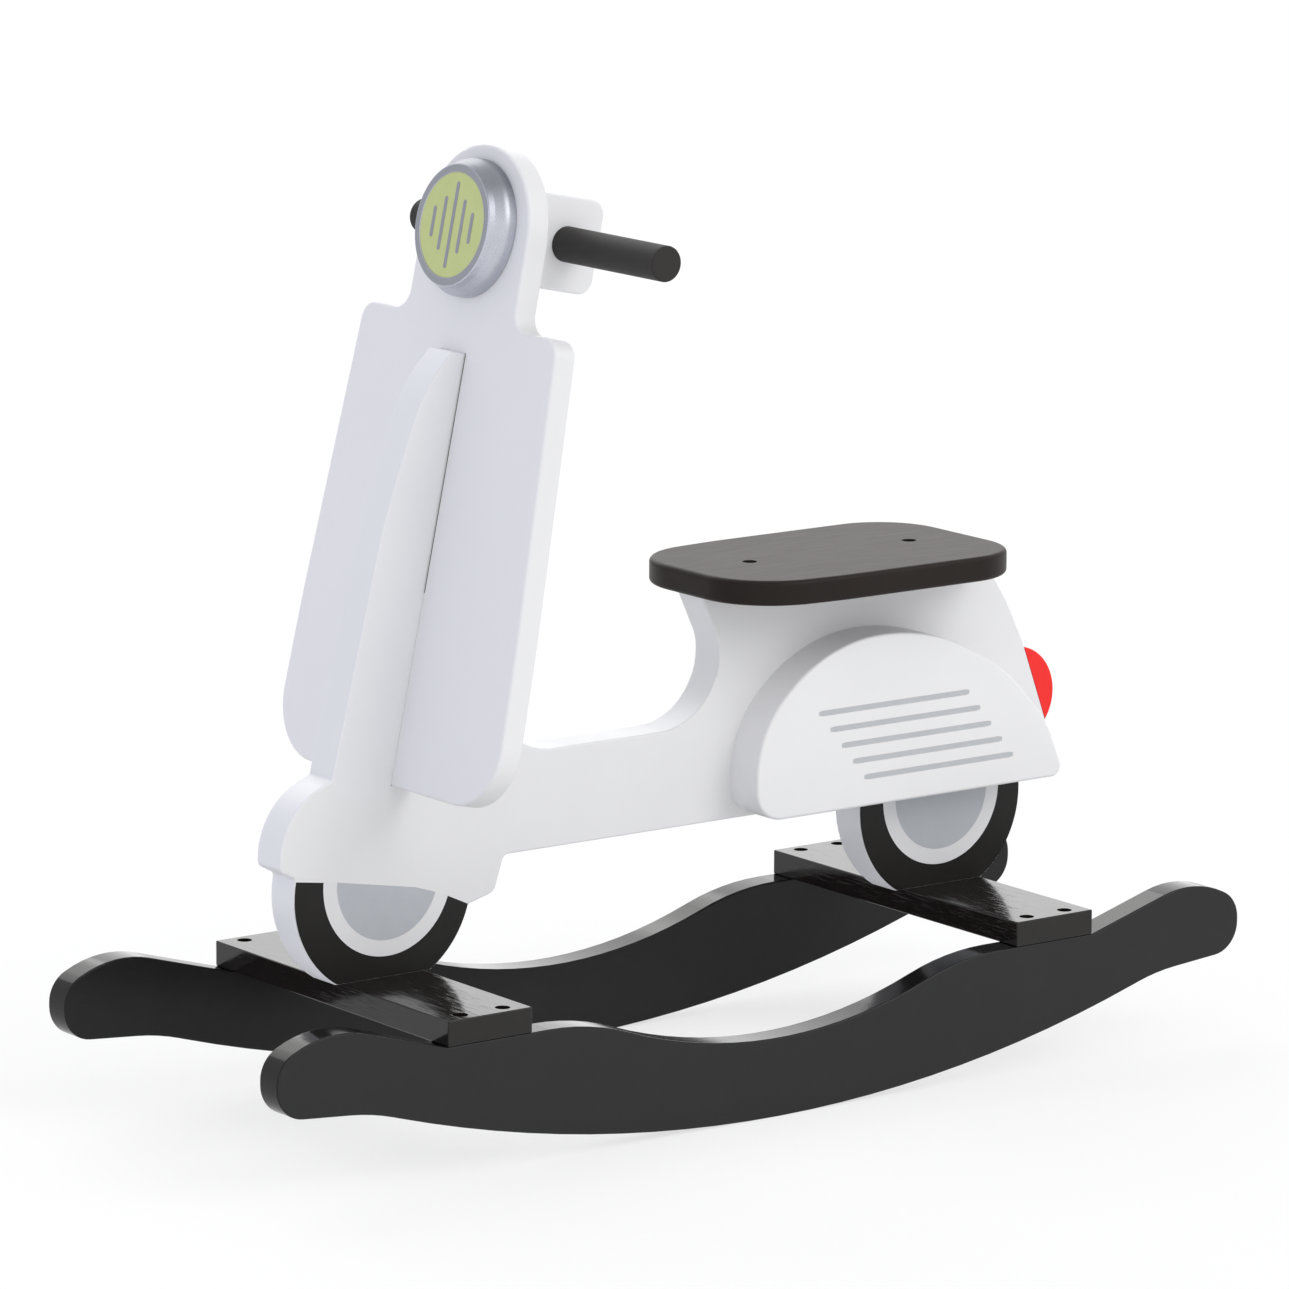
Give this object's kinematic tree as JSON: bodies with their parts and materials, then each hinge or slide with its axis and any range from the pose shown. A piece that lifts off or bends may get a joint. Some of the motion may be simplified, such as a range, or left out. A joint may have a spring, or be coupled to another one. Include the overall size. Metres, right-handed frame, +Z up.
{
  "type": "rocking motorcycle",
  "caption": "Ride-on rocking toy: a scooter-shaped board with leaning front shield, headlamp, handles, seat, side cowls and tail lamp, standing on two arched wooden rockers joined by planks.",
  "frame": {"origin": "on the floor, midway between the rockers' tips and midway between the handles' ends", "axes": "+X towards the front, +Y towards the rider's left, +Z up"},
  "size_m": [0.745, 0.254, 0.6007],
  "materials": {
    "white_board": "satin white paint on fibreboard",
    "white_batten": "thin satin white paint on a sawn batten",
    "seat_lacquer": "dark brown satin lacquer",
    "plank_lacquer": "black gloss lacquer over wood grain",
    "rocker_paint": "satin black paint",
    "handle_paint": "matt black paint",
    "silver_paint": "silver metallic paint",
    "lamp_face_paint": "light green printed disc",
    "red_paint": "gloss red paint",
    "bare_wood": "bare beech",
    "screw_black": "blackened steel",
    "screw_bright": "zinc plated steel"
  },
  "bodies": {
    "root": {"body_board": "white_board", "front_shield": "white_board", "cowl_left": "white_board", "cowl_right": "white_board", "handlebar_block": "white_board", "seat_board": "seat_lacquer", "front_plank": "plank_lacquer", "rear_plank": "plank_lacquer", "rocker_left": "rocker_paint", "rocker_right": "rocker_paint", "handle_left": "handle_paint", "handle_right": "handle_paint", "shield_cleat_left": "white_batten", "shield_cleat_right": "white_batten", "headlamp_bezel": "silver_paint", "headlamp_face": "lamp_face_paint", "tail_lamp": "red_paint", "seat_dowels": "bare_wood", "cowl_dowels": "bare_wood", "tail_lamp_dowels": "bare_wood", "front_rocker_screws": "screw_black", "rear_rocker_screws": "screw_black", "seat_screws": "screw_bright", "front_wheel_screws": "screw_bright", "rear_wheel_screws": "screw_bright", "cleat_screws_left": "screw_bright", "cleat_screws_right": "screw_bright", "shield_screws": "screw_bright", "block_screws": "screw_bright", "handle_screws": "screw_bright", "headlamp_screw": "screw_bright"}
  },
  "joints": []
}
